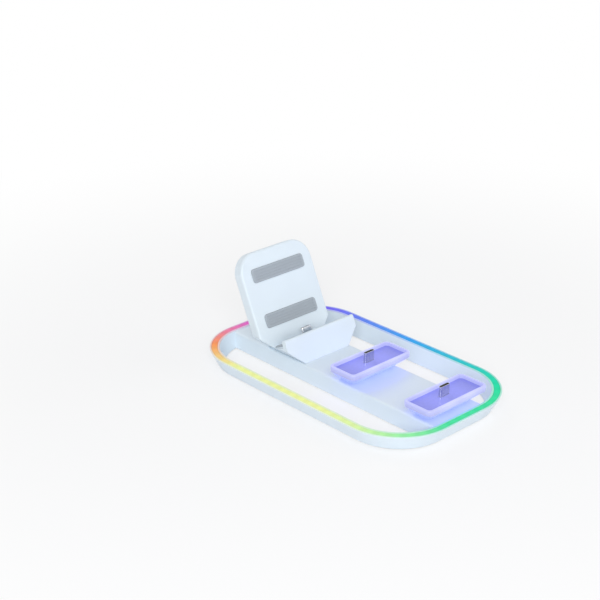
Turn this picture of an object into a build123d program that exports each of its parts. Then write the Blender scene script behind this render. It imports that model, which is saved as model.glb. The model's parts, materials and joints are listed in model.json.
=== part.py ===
"""Charging dock: a lit ring base with a beam, two lit seats with plugs and a leaning cradle with a plug."""
import os
from math import cos, radians, sin, tan

from build123d import *

os.makedirs("parts", exist_ok=True)

# Ring base, a rounded rectangle in plan
base_length = 190.0
base_width = 114.0
base_corner = 38.5
base_top = 11.2
foot_gap = 0.6
outer_draft = 27.0
inner_draft = 20.0
bottom_round = 1.2
rim_round = 0.3
rim_wall = 1.2
light_width = 4.0
lip_wall = 1.2
# Beam from the front of the ring to the back
beam_width = 42.0
beam_step = 0.6
beam_draft = 10.0
beam_round = 1.6
shell_wall = 2.0
# Light guide and the lamp chamber under it
guide_depth = 1.2
guide_round = 0.4
guide_ledge = 0.8
chamber_width = 2.6
chamber_depth = 6.6
strip_thickness = 0.25
lamp_side = 1.2
lamp_height = 0.6
lamp_count = 66
# Fits
fit = 0.1
gap = 0.3
# Bottom cover
cover_thickness = 1.8
cover_ledge = 1.2
cover_corner = 3.0
# Boards
board_thickness = 1.2
board_margin = 3.0
board_drop = 2.4
small_board = 1.0
chip_side = 5.0
chip_height = 0.9
chip_shift = 6.0
coil_side = 6.0
coil_corner = 1.5
coil_height = 1.8
coil_pitch = 8.0
# Screws
screw_diameter = 1.8
screw_head = 3.6
screw_head_height = 1.1
screw_play = 0.6
post_diameter = 4.6
screw_bite = 4.5
post_inset = 4.4
cover_screw_rows = 3
board_post_x = 8.0
# Rubber feet under the corners
foot_width = 2.4
foot_margin = 1.5
foot_recess = 0.6
foot_reach = 27.0
# Power inlet at the back
inlet_width = 9.0
inlet_height = 3.3
inlet_length = 7.4
inlet_wall = 0.3
inlet_set_back = 0.6
inlet_back = 2.0
inlet_tongue_back = 1.0
inlet_block = 16.0
inlet_notch_width = 14.0
inlet_notch_height = 7.0
tongue_width = 6.6
tongue_height = 0.7
# Light button behind the cradle
button_diameter = 9.0
button_proud = 0.8
button_flange = 1.2
button_flange_height = 0.6
button_travel = 0.4
button_round = 0.3
switch_side = 5.2
switch_height = 0.8
plunger_diameter = 2.4
# Lit seats on the beam
seat_width = 52.0
seat_depth = 22.0
seat_corner = 4.0
seat_setback = 0.8
seat_pitch = 61.6
seat_lift = 7.2
seat_rim_height = 3.4
seat_rim = 1.8
seat_recess = 2.2
seat_wall = 1.8
seat_floor = 1.8
seat_round = 0.8
seat_foot_width = 34.0
seat_foot_depth = 12.0
seat_foot_corner = 3.0
seat_foot_shift = 3.6
seat_post_x = 11.5
cup_lean = 1.6
# Plugs
plug_width = 8.3
plug_height = 2.4
plug_reach = 6.5
plug_wall = 0.3
plug_block_width = 10.4
plug_block_depth = 4.0
plug_setback = 12.4
contact_slot = 0.8
plug_insert_back = 0.3
link_width = 6.0
link_depth = 2.4
# Cradle with a slanted slot and a backrest
lean = 24.6
rest_setback = 59.6
rest_lift = 10.6
slot_depth = 20.0
slot_lip = 3.2
slot_lip_height = 4.5
rest_height = 62.0
rest_thickness = 8.0
cradle_width = 60.0
cradle_foot = 38.0
cradle_flare = 9.5
cradle_corner = 14.0
cradle_wall = 2.2
cradle_round = 1.4
lip_round = 1.2
cradle_cover = 2.0
cradle_cover_rim = 1.1
cradle_post_x = 13.0
pocket_lift = 12.0
cradle_board_width = 18.0
cradle_board_depth = 12.0
pad_corner = 2.0
rest_pad_width = 44.0
rest_pad_height = 9.0
rest_pad_pitch = 30.0
rest_pad_middle = 32.0
pad_thickness = 1.2
pad_recess = 0.6
floor_pad_width = 46.0
floor_pad_depth = 15.0

# Shared places
base_height = base_top - foot_gap
wall_lean = tan(radians(outer_draft))
ring_width = rim_wall + light_width + lip_wall
window_width = base_width - 2 * ring_width
window_length = base_length - 2 * ring_width
window_corner = base_corner - ring_width
beam_top = base_top - beam_step
beam_spread = 2 * (beam_top - foot_gap) * tan(radians(beam_draft))
beam_reach = window_length / 2
ceiling = beam_top - shell_wall
cover_top = foot_gap + cover_thickness
hollow_width = beam_width + beam_spread - 2 * shell_wall - 2 * cover_ledge
hollow_length = window_length - 2 * shell_wall - 2 * cover_ledge
cover_width = hollow_width + 2 * cover_ledge
cover_length = hollow_length + 2 * cover_ledge
board_top = ceiling - board_drop
board_bottom = board_top - board_thickness
guide_floor = base_top - guide_depth
chamber_out = rim_wall + guide_ledge
chamber_in = chamber_out + chamber_width
chamber_bottom = guide_floor - chamber_depth
strip_out = chamber_out + chamber_depth * wall_lean + gap
strip_in = chamber_in + chamber_depth * wall_lean - gap
lamp_inset = (strip_out + strip_in - gap) / 2
post_x = hollow_width / 2 - post_inset
post_step = (hollow_length - 2 * post_inset) / (cover_screw_rows - 1)
board_width = 2 * (post_x - post_diameter / 2 - gap)
board_length = hollow_length - 2 * board_margin
pilot = screw_diameter + fit
clear_hole = screw_diameter + screw_play
inlet_z = board_top - board_thickness / 2
inlet_face = base_length / 2 - (base_top - inlet_z + inlet_height / 2) * wall_lean
inlet_mouth = inlet_face - inlet_set_back
inlet_end = inlet_mouth - inlet_length
light_front = -window_length / 2 - lip_wall
light_back = window_length / 2 + lip_wall
seat_y = light_front + seat_setback + seat_depth / 2
seat_foot_y = seat_y + seat_foot_shift
plug_y = seat_y - seat_depth / 2 + plug_setback
seat_bottom = beam_top
seat_rim_bottom = base_top + seat_lift
seat_top = seat_rim_bottom + seat_rim_height
seat_deck = seat_top - seat_recess
seat_ceiling = seat_deck - seat_floor

# The cradle leans back: v runs across its slot, u up along its backrest
lean_s = sin(radians(lean))
lean_c = cos(radians(lean))
rest_y = light_back - rest_setback
rest_z = base_top + rest_lift


def slot_point(v, u):
    return (rest_y + v * lean_c + u * lean_s, rest_z - v * lean_s + u * lean_c)


def foot_u(v):
    return (beam_top - rest_z + v * lean_s) / lean_c


def slot_v(p):
    return (p.Y - rest_y) * lean_c - (p.Z - rest_z) * lean_s


def slot_u(p):
    return (p.Y - rest_y) * lean_s + (p.Z - rest_z) * lean_c


rest_back = slot_depth + rest_thickness
rest_inner = slot_depth + cradle_wall
cradle_top = slot_point(slot_depth, rest_height)[1]
cradle_rear = slot_point(rest_back, foot_u(rest_back))[0]
plug_v = slot_depth / 2
floor_plane = Plane(
    origin=(0, *slot_point(plug_v, 0)), x_dir=(1, 0, 0), z_dir=(0, lean_s, lean_c)
)
rest_plane = Plane(
    origin=(0, *slot_point(slot_depth, rest_pad_middle)), x_dir=(1, 0, 0), z_dir=(0, -lean_c, lean_s)
)
button_y = (cradle_rear + window_length / 2) / 2
button_hole = button_diameter + 2 * gap
flange_top = ceiling - gap
flange_bottom = flange_top - button_flange_height
rear_seat_y = seat_y + seat_pitch
foot_inset = base_height * wall_lean + foot_margin
foot_far = foot_inset + foot_width
seat_hollow = seat_wall + cup_lean
seat_board_width = 2 * (seat_post_x - post_diameter / 2 - gap)
seat_board_depth = seat_foot_depth - 2 * seat_wall - 2 * gap
seat_posts = [
    (-seat_post_x, seat_foot_y),
    (seat_post_x, seat_foot_y),
    (-seat_post_x, seat_foot_y + seat_pitch),
    (seat_post_x, seat_foot_y + seat_pitch),
]
# The cradle's plug meets its flat board under the slot
cradle_board_y = slot_point(plug_v, foot_u(plug_v))[0]
front_post_top = slot_point(cradle_wall - slot_lip, -cradle_wall)
front_post_y = front_post_top[0] + post_diameter / 2
front_post_height = front_post_top[1] - beam_top
rest_mid = slot_depth + rest_thickness / 2
rear_post_y = slot_point(rest_mid, foot_u(rest_mid))[0] + screw_bite / 2 * tan(radians(lean))
front_posts = [(-cradle_post_x, front_post_y), (cradle_post_x, front_post_y)]
rear_posts = [(-cradle_post_x, rear_post_y), (cradle_post_x, rear_post_y)]
cradle_posts = front_posts + rear_posts
link_places = [(0, seat_foot_y), (0, seat_foot_y + seat_pitch), (0, cradle_board_y)]
board_posts = [
    (board_post_x, seat_y + seat_pitch / 2),
    (board_post_x, (rear_seat_y + rest_y) / 2),
    (board_post_x, (cradle_board_y + rear_post_y) / 2),
]
hollow_v = slot_depth - cradle_wall
pocket_height = rest_height - cradle_wall - cradle_cover_rim - pocket_lift
pocket_width = cradle_width - 2 * cradle_wall - 2 * cradle_cover_rim
pocket_corner = cradle_corner - cradle_wall - cradle_cover_rim
pocket_plane = Plane(
    origin=(0, *slot_point(rest_back, pocket_lift + pocket_height / 2)),
    x_dir=(1, 0, 0),
    z_dir=(0, -lean_c, lean_s),
)
back_post_x = pocket_width - 2 * pocket_corner
back_post_y = pocket_height - 2 * pocket_corner
inlet_plane = Plane(origin=(0, board_length / 2, inlet_z), x_dir=(1, 0, 0), z_dir=(0, 1, 0))
inlet_shell_plane = Plane(origin=(0, inlet_end, inlet_z), x_dir=(1, 0, 0), z_dir=(0, 1, 0))
inlet_notch_plane = Plane(origin=(0, inlet_face, inlet_z), x_dir=(1, 0, 0), z_dir=(0, 1, 0))

# Hollow under the light guide: it leans in with the outer wall and stops short of the inlet
with BuildPart() as lamp_chamber:
    with BuildSketch(Plane.XY.offset(guide_floor)):
        RectangleRounded(
            base_width - 2 * chamber_out, base_length - 2 * chamber_out, base_corner - chamber_out
        )
    extrude(amount=-chamber_depth, taper=outer_draft)
    with BuildSketch(Plane.XY.offset(guide_floor)):
        RectangleRounded(base_width - 2 * chamber_in, base_length - 2 * chamber_in, base_corner - chamber_in)
    extrude(amount=-chamber_depth, taper=outer_draft, mode=Mode.SUBTRACT)
    with BuildSketch(Plane.XY.offset(guide_floor)):
        with Locations((0, base_length / 2)):
            Rectangle(inlet_block, 4 * strip_in)
    extrude(amount=-chamber_depth, mode=Mode.SUBTRACT)

# Ring and beam, one moulding
with BuildPart() as base_shell:
    with BuildSketch(Plane.XY.offset(base_top)):
        RectangleRounded(base_width, base_length, base_corner)
    extrude(amount=-base_height, taper=outer_draft)
    fillet(base_shell.faces().sort_by(Axis.Z)[0].outer_wire().edges(), bottom_round)
    fillet(base_shell.faces().sort_by(Axis.Z)[-1].outer_wire().edges(), rim_round)
    with BuildSketch(Plane.XY.offset(base_top)):
        RectangleRounded(window_width, window_length, window_corner)
    extrude(amount=-base_height, taper=inner_draft, mode=Mode.SUBTRACT)
    # The beam's section has sloping flanks and rounded top edges
    with BuildSketch(Plane.XZ) as beam_section:
        with BuildLine():
            Polyline(
                (-(beam_width + beam_spread) / 2, foot_gap),
                (-beam_width / 2, beam_top),
                (beam_width / 2, beam_top),
                ((beam_width + beam_spread) / 2, foot_gap),
                close=True,
            )
        make_face()
        fillet(beam_section.vertices().group_by(Axis.Y)[-1], beam_round)
    extrude(amount=beam_reach, both=True)
    # Groove for the light guide, and the lamp chamber below it
    with BuildSketch(Plane.XY.offset(base_top)):
        RectangleRounded(base_width - 2 * rim_wall, base_length - 2 * rim_wall, base_corner - rim_wall)
        RectangleRounded(
            window_width + 2 * lip_wall,
            window_length + 2 * lip_wall,
            window_corner + lip_wall,
            mode=Mode.SUBTRACT,
        )
    extrude(amount=-guide_depth, mode=Mode.SUBTRACT)
    add(lamp_chamber.part, mode=Mode.SUBTRACT)
    # Hollow of the beam with a ledge for the bottom cover
    with BuildSketch(Plane.XY.offset(foot_gap)):
        RectangleRounded(cover_width + 2 * fit, cover_length + 2 * fit, cover_corner)
    extrude(amount=cover_thickness, mode=Mode.SUBTRACT)
    with BuildSketch(Plane.XY.offset(cover_top)):
        RectangleRounded(hollow_width, hollow_length, cover_corner)
    extrude(amount=ceiling - cover_top, taper=beam_draft, mode=Mode.SUBTRACT)
    # Posts for the cover and the board
    with BuildSketch(Plane.XY.offset(cover_top)):
        with GridLocations(2 * post_x, post_step, 2, cover_screw_rows):
            Circle(post_diameter / 2)
    extrude(amount=ceiling + fit - cover_top)
    with BuildSketch(Plane.XY.offset(cover_top)):
        with GridLocations(2 * post_x, post_step, 2, cover_screw_rows):
            Circle(pilot / 2)
    extrude(amount=screw_bite + fit, mode=Mode.SUBTRACT)
    with BuildSketch(Plane.XY.offset(board_top)):
        with Locations(*board_posts):
            Circle(post_diameter / 2)
    extrude(amount=board_drop + fit)
    with BuildSketch(Plane.XY.offset(board_top)):
        with Locations(*board_posts):
            Circle(pilot / 2)
    extrude(amount=board_drop, mode=Mode.SUBTRACT)
    # Holes in the beam's top for the seats, the cradle, their connectors and the button
    with BuildSketch(Plane.XY.offset(ceiling)):
        with Locations(*seat_posts, *cradle_posts):
            Circle(clear_hole / 2)
        with Locations(*link_places):
            Rectangle(link_width + 2 * gap, link_depth + 2 * gap)
        with Locations((0, button_y)):
            Circle(button_hole / 2)
    extrude(amount=shell_wall + fit, mode=Mode.SUBTRACT)
    # Tunnel of the power inlet through the back of the ring, and a notch with a flat face round its mouth
    with BuildSketch(inlet_plane):
        SlotOverall(inlet_width + 2 * fit, inlet_height + 2 * fit)
    extrude(until=Until.LAST, mode=Mode.SUBTRACT)
    with BuildSketch(inlet_notch_plane):
        SlotOverall(inlet_notch_width, inlet_notch_height)
    extrude(amount=base_length / 2 - inlet_face, mode=Mode.SUBTRACT)
    # Recesses of the feet
    with BuildSketch(Plane.XY.offset(foot_gap)):
        RectangleRounded(
            base_width - 2 * foot_inset + 2 * fit,
            base_length - 2 * foot_inset + 2 * fit,
            base_corner - foot_inset + fit,
        )
        RectangleRounded(
            base_width - 2 * foot_far - 2 * fit,
            base_length - 2 * foot_far - 2 * fit,
            base_corner - foot_far - fit,
            mode=Mode.SUBTRACT,
        )
        Rectangle(base_width - 2 * foot_reach - 2 * fit, base_length, mode=Mode.SUBTRACT)
        Rectangle(base_width, base_length - 2 * foot_reach - 2 * fit, mode=Mode.SUBTRACT)
    extrude(amount=foot_recess, mode=Mode.SUBTRACT)
base_shell.part.label = "base_shell"
export_step(base_shell.part, "parts/base_shell.step")

# Plate under the beam
with BuildPart() as bottom_cover:
    with BuildSketch(Plane.XY.offset(foot_gap)):
        RectangleRounded(cover_width, cover_length, cover_corner)
    extrude(amount=cover_thickness)
    with BuildSketch(Plane.XY.offset(foot_gap)):
        with GridLocations(2 * post_x, post_step, 2, cover_screw_rows):
            Circle(clear_hole / 2)
    extrude(amount=cover_thickness, mode=Mode.SUBTRACT)
    with BuildSketch(Plane.XY.offset(foot_gap)):
        with GridLocations(2 * post_x, post_step, 2, cover_screw_rows):
            Circle(screw_head / 2 + fit)
    extrude(amount=screw_head_height, mode=Mode.SUBTRACT)
bottom_cover.part.label = "bottom_cover"
export_step(bottom_cover.part, "parts/bottom_cover.step")

with BuildPart() as cover_screws:
    with BuildSketch(Plane.XY.offset(foot_gap)):
        with GridLocations(2 * post_x, post_step, 2, cover_screw_rows):
            Circle(screw_head / 2)
    extrude(amount=screw_head_height)
    with BuildSketch(Plane.XY.offset(foot_gap + screw_head_height)):
        with GridLocations(2 * post_x, post_step, 2, cover_screw_rows):
            Circle(screw_diameter / 2)
    extrude(amount=cover_thickness - screw_head_height + screw_bite)
cover_screws.part.label = "cover_screws"
export_step(cover_screws.part, "parts/cover_screws.step")

# Light guide flush with the ring's top
with BuildPart() as light_guide:
    with BuildSketch(Plane.XY.offset(guide_floor)):
        RectangleRounded(
            base_width - 2 * rim_wall - 2 * fit,
            base_length - 2 * rim_wall - 2 * fit,
            base_corner - rim_wall - fit,
        )
        RectangleRounded(
            window_width + 2 * lip_wall + 2 * fit,
            window_length + 2 * lip_wall + 2 * fit,
            window_corner + lip_wall + fit,
            mode=Mode.SUBTRACT,
        )
    extrude(amount=guide_depth)
    fillet(light_guide.faces().sort_by(Axis.Z)[-1].edges(), guide_round)
light_guide.part.label = "light_guide"
export_step(light_guide.part, "parts/light_guide.step")

# Lamp strip on the chamber's floor
with BuildPart() as led_strip:
    with BuildSketch(Plane.XY.offset(chamber_bottom)):
        RectangleRounded(base_width - 2 * strip_out, base_length - 2 * strip_out, base_corner - strip_out)
        RectangleRounded(
            base_width - 2 * strip_in, base_length - 2 * strip_in, base_corner - strip_in, mode=Mode.SUBTRACT
        )
        with Locations((0, base_length / 2)):
            Rectangle(inlet_block + 2 * fit, 4 * strip_in, mode=Mode.SUBTRACT)
    extrude(amount=strip_thickness)
led_strip.part.label = "led_strip"
export_step(led_strip.part, "parts/led_strip.step")

with BuildSketch(Plane.XY) as lamp_line:
    RectangleRounded(base_width - 2 * lamp_inset, base_length - 2 * lamp_inset, base_corner - lamp_inset)
lamp_loop = lamp_line.sketch.face().outer_wire()
lamp_points = [lamp_loop.position_at((i + 0.5) / lamp_count) for i in range(lamp_count)]
lamp_places = [
    (p.X, p.Y) for p in lamp_points if p.Y < 0 or abs(p.X) > inlet_block / 2 + lamp_side
]
with BuildPart() as ring_leds:
    with BuildSketch(Plane.XY.offset(chamber_bottom + strip_thickness)):
        with Locations(*lamp_places):
            Rectangle(lamp_side, lamp_side)
    extrude(amount=lamp_height)
ring_leds.part.label = "ring_leds"
export_step(ring_leds.part, "parts/ring_leds.step")

# Main board with a tail that reaches the inlet
with BuildPart() as main_board:
    with BuildSketch(Plane.XY.offset(board_bottom)):
        Rectangle(board_width, board_length)
        with Locations((0, board_length / 2)):
            Rectangle(
                tongue_width, inlet_end - board_length / 2, align=(Align.CENTER, Align.MIN)
            )
        with Locations(*board_posts):
            Circle(clear_hole / 2, mode=Mode.SUBTRACT)
    extrude(amount=board_thickness)
main_board.part.label = "main_board"
export_step(main_board.part, "parts/main_board.step")

with BuildPart() as board_screws:
    with BuildSketch(Plane.XY.offset(board_bottom - screw_head_height)):
        with Locations(*board_posts):
            Circle(screw_head / 2)
    extrude(amount=screw_head_height)
    with BuildSketch(Plane.XY.offset(board_bottom)):
        with Locations(*board_posts):
            Circle(screw_diameter / 2)
    extrude(amount=board_thickness + board_drop - fit)
board_screws.part.label = "board_screws"
export_step(board_screws.part, "parts/board_screws.step")

with BuildPart() as charge_chips:
    with BuildSketch(Plane.XY.offset(board_bottom)):
        with Locations(*[(-chip_shift, y) for x, y in link_places]):
            Rectangle(chip_side, chip_side)
    extrude(amount=-chip_height)
charge_chips.part.label = "charge_chips"
export_step(charge_chips.part, "parts/charge_chips.step")

with BuildPart() as power_coils:
    with BuildSketch(Plane.XY.offset(board_bottom)):
        with Locations(*[(-chip_shift, y + coil_pitch) for x, y in link_places]):
            RectangleRounded(coil_side, coil_side, coil_corner)
    extrude(amount=-coil_height)
power_coils.part.label = "power_coils"
export_step(power_coils.part, "parts/power_coils.step")

with BuildPart() as link_headers:
    with BuildSketch(Plane.XY.offset(board_top)):
        with Locations(*link_places):
            Rectangle(link_width, link_depth)
    extrude(amount=beam_top - board_top)
link_headers.part.label = "link_headers"
export_step(link_headers.part, "parts/link_headers.step")

# Power inlet: a steel shell with a tongue, held in the tunnel
with BuildPart() as power_inlet_shell:
    with BuildSketch(inlet_shell_plane):
        SlotOverall(inlet_width, inlet_height)
        SlotOverall(inlet_width - 2 * inlet_wall, inlet_height - 2 * inlet_wall, mode=Mode.SUBTRACT)
    extrude(amount=inlet_length)
power_inlet_shell.part.label = "power_inlet_shell"
export_step(power_inlet_shell.part, "parts/power_inlet_shell.step")

with BuildPart() as power_inlet_tongue:
    with BuildSketch(inlet_shell_plane):
        SlotOverall(
            inlet_width - 2 * inlet_wall - fit, inlet_height - 2 * inlet_wall - fit
        )
    extrude(amount=inlet_back)
    with BuildSketch(inlet_shell_plane):
        Rectangle(tongue_width, tongue_height)
    extrude(amount=inlet_length - inlet_tongue_back)
power_inlet_tongue.part.label = "power_inlet_tongue"
export_step(power_inlet_tongue.part, "parts/power_inlet_tongue.step")

# Light button, its plunger and the switch below
with BuildPart() as mode_button:
    with BuildSketch(Plane.XY.offset(flange_bottom)):
        with Locations((0, button_y)):
            Circle(button_diameter / 2 + button_flange)
    extrude(amount=button_flange_height)
    with BuildSketch(Plane.XY.offset(flange_top)):
        with Locations((0, button_y)):
            Circle(button_diameter / 2)
    extrude(amount=beam_top + button_proud - flange_top)
    fillet(mode_button.faces().sort_by(Axis.Z)[-1].edges(), button_round)
mode_button.part.label = "mode_button"
export_step(mode_button.part, "parts/mode_button.step")

with BuildPart() as switch_plunger:
    with BuildSketch(Plane.XY.offset(board_top + button_travel + gap)):
        with Locations((0, button_y)):
            Circle(plunger_diameter / 2)
    extrude(amount=flange_bottom - board_top - button_travel - gap)
switch_plunger.part.label = "switch_plunger"
export_step(switch_plunger.part, "parts/switch_plunger.step")

with BuildPart() as mode_switch:
    with BuildSketch(Plane.XY.offset(board_top)):
        with Locations((0, button_y)):
            Rectangle(switch_side, switch_side)
            Circle(plunger_diameter / 2 + gap, mode=Mode.SUBTRACT)
    extrude(amount=switch_height)
mode_switch.part.label = "mode_switch"
export_step(mode_switch.part, "parts/mode_switch.step")

# Rubber feet along the four corners
with BuildPart() as corner_feet:
    with BuildSketch(Plane.XY):
        RectangleRounded(
            base_width - 2 * foot_inset, base_length - 2 * foot_inset, base_corner - foot_inset
        )
        RectangleRounded(
            base_width - 2 * foot_far,
            base_length - 2 * foot_far,
            base_corner - foot_far,
            mode=Mode.SUBTRACT,
        )
        Rectangle(base_width - 2 * foot_reach, base_length, mode=Mode.SUBTRACT)
        Rectangle(base_width, base_length - 2 * foot_reach, mode=Mode.SUBTRACT)
    extrude(amount=foot_gap + foot_recess)
corner_feet.part.label = "corner_feet"
export_step(corner_feet.part, "parts/corner_feet.step")

# Front seat: a boat-shaped cup that rises from a small foot to a wide rim
with BuildPart() as front_seat_cup:
    with BuildSketch(Plane.XY.offset(seat_bottom)):
        with Locations((0, seat_foot_y)):
            RectangleRounded(seat_foot_width, seat_foot_depth, seat_foot_corner)
    with BuildSketch(Plane.XY.offset(seat_rim_bottom)):
        with Locations((0, seat_y)):
            RectangleRounded(seat_width, seat_depth, seat_corner)
    loft()
    with BuildSketch(Plane.XY.offset(seat_rim_bottom)):
        with Locations((0, seat_y)):
            RectangleRounded(seat_width, seat_depth, seat_corner)
    extrude(amount=seat_rim_height)
    fillet(front_seat_cup.faces().sort_by(Axis.Z)[-1].edges(), seat_round)
    with BuildSketch(Plane.XY.offset(seat_deck)):
        with Locations((0, seat_y)):
            RectangleRounded(seat_width - 2 * seat_rim, seat_depth - 2 * seat_rim, seat_corner - seat_rim)
    extrude(amount=seat_recess, mode=Mode.SUBTRACT)
    # Hollow underneath, with two screw posts
    with BuildSketch(Plane.XY.offset(seat_bottom)):
        with Locations((0, seat_foot_y)):
            RectangleRounded(
                seat_foot_width - 2 * seat_wall,
                seat_foot_depth - 2 * seat_wall,
                seat_foot_corner - seat_wall,
            )
    with BuildSketch(Plane.XY.offset(seat_ceiling)):
        with Locations((0, seat_y)):
            RectangleRounded(
                seat_width - 2 * seat_hollow, seat_depth - 2 * seat_hollow, seat_foot_corner - seat_wall
            )
    loft(mode=Mode.SUBTRACT)
    with BuildSketch(Plane.XY.offset(seat_bottom)):
        with Locations(*seat_posts[:2]):
            Circle(post_diameter / 2)
    extrude(amount=seat_ceiling + fit - seat_bottom)
    with BuildSketch(Plane.XY.offset(seat_bottom)):
        with Locations(*seat_posts[:2]):
            Circle(pilot / 2)
    extrude(amount=screw_bite + fit, mode=Mode.SUBTRACT)
    with BuildSketch(Plane.XY.offset(seat_ceiling)):
        with Locations((0, plug_y)):
            SlotOverall(plug_width + 2 * gap, plug_height + 2 * gap)
    extrude(amount=seat_floor, mode=Mode.SUBTRACT)
front_seat_cup.part.label = "front_seat_cup"
export_step(front_seat_cup.part, "parts/front_seat_cup.step")

with BuildPart() as front_seat_board:
    with BuildSketch(Plane.XY.offset(beam_top)):
        with Locations((0, seat_foot_y)):
            Rectangle(seat_board_width, seat_board_depth)
    extrude(amount=small_board)
front_seat_board.part.label = "front_seat_board"
export_step(front_seat_board.part, "parts/front_seat_board.step")

with BuildPart() as front_seat_leds:
    with BuildSketch(Plane.XY.offset(beam_top + small_board)):
        with Locations((0, seat_foot_y)):
            with GridLocations(seat_board_width - 2 * lamp_side, seat_board_depth - 2 * lamp_side, 2, 2):
                Rectangle(lamp_side, lamp_side)
    extrude(amount=lamp_height)
front_seat_leds.part.label = "front_seat_leds"
export_step(front_seat_leds.part, "parts/front_seat_leds.step")

with BuildPart() as front_plug_block:
    with BuildSketch(Plane.XY.offset(beam_top + small_board)):
        with Locations((0, plug_y)):
            Rectangle(plug_block_width, plug_block_depth)
    extrude(amount=seat_ceiling - fit - beam_top - small_board)
front_plug_block.part.label = "front_plug_block"
export_step(front_plug_block.part, "parts/front_plug_block.step")

with BuildPart() as front_plug_shell:
    with BuildSketch(Plane.XY.offset(seat_ceiling - fit)):
        with Locations((0, plug_y)):
            SlotOverall(plug_width, plug_height)
            SlotOverall(plug_width - 2 * plug_wall, plug_height - 2 * plug_wall, mode=Mode.SUBTRACT)
    extrude(amount=seat_floor + fit + plug_reach)
front_plug_shell.part.label = "front_plug_shell"
export_step(front_plug_shell.part, "parts/front_plug_shell.step")

with BuildPart() as front_plug_insert:
    with BuildSketch(Plane.XY.offset(seat_ceiling - fit)):
        with Locations((0, plug_y)):
            SlotOverall(plug_width - 2 * plug_wall - fit, plug_height - 2 * plug_wall - fit)
    extrude(amount=seat_floor + fit + plug_reach - plug_insert_back)
    with BuildSketch(Plane.XY.offset(seat_deck)):
        with Locations((0, plug_y)):
            Rectangle(tongue_width, contact_slot)
    extrude(amount=plug_reach, mode=Mode.SUBTRACT)
front_plug_insert.part.label = "front_plug_insert"
export_step(front_plug_insert.part, "parts/front_plug_insert.step")

# The rear seat repeats the front one a pitch further back
with BuildPart() as rear_seat_cup:
    with Locations((0, seat_pitch, 0)):
        add(front_seat_cup.part)
rear_seat_cup.part.label = "rear_seat_cup"
export_step(rear_seat_cup.part, "parts/rear_seat_cup.step")

with BuildPart() as rear_seat_board:
    with Locations((0, seat_pitch, 0)):
        add(front_seat_board.part)
rear_seat_board.part.label = "rear_seat_board"
export_step(rear_seat_board.part, "parts/rear_seat_board.step")

with BuildPart() as rear_seat_leds:
    with Locations((0, seat_pitch, 0)):
        add(front_seat_leds.part)
rear_seat_leds.part.label = "rear_seat_leds"
export_step(rear_seat_leds.part, "parts/rear_seat_leds.step")

with BuildPart() as rear_plug_block:
    with Locations((0, seat_pitch, 0)):
        add(front_plug_block.part)
rear_plug_block.part.label = "rear_plug_block"
export_step(rear_plug_block.part, "parts/rear_plug_block.step")

with BuildPart() as rear_plug_shell:
    with Locations((0, seat_pitch, 0)):
        add(front_plug_shell.part)
rear_plug_shell.part.label = "rear_plug_shell"
export_step(rear_plug_shell.part, "parts/rear_plug_shell.step")

with BuildPart() as rear_plug_insert:
    with Locations((0, seat_pitch, 0)):
        add(front_plug_insert.part)
rear_plug_insert.part.label = "rear_plug_insert"
export_step(rear_plug_insert.part, "parts/rear_plug_insert.step")

# Screws from inside the beam up into the seats
with BuildPart() as seat_screws:
    with BuildSketch(Plane.XY.offset(ceiling)):
        with Locations(*seat_posts):
            Circle(screw_head / 2)
    extrude(amount=-screw_head_height)
    with BuildSketch(Plane.XY.offset(ceiling)):
        with Locations(*seat_posts):
            Circle(screw_diameter / 2)
    extrude(amount=shell_wall + screw_bite)
seat_screws.part.label = "seat_screws"
export_step(seat_screws.part, "parts/seat_screws.step")

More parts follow.
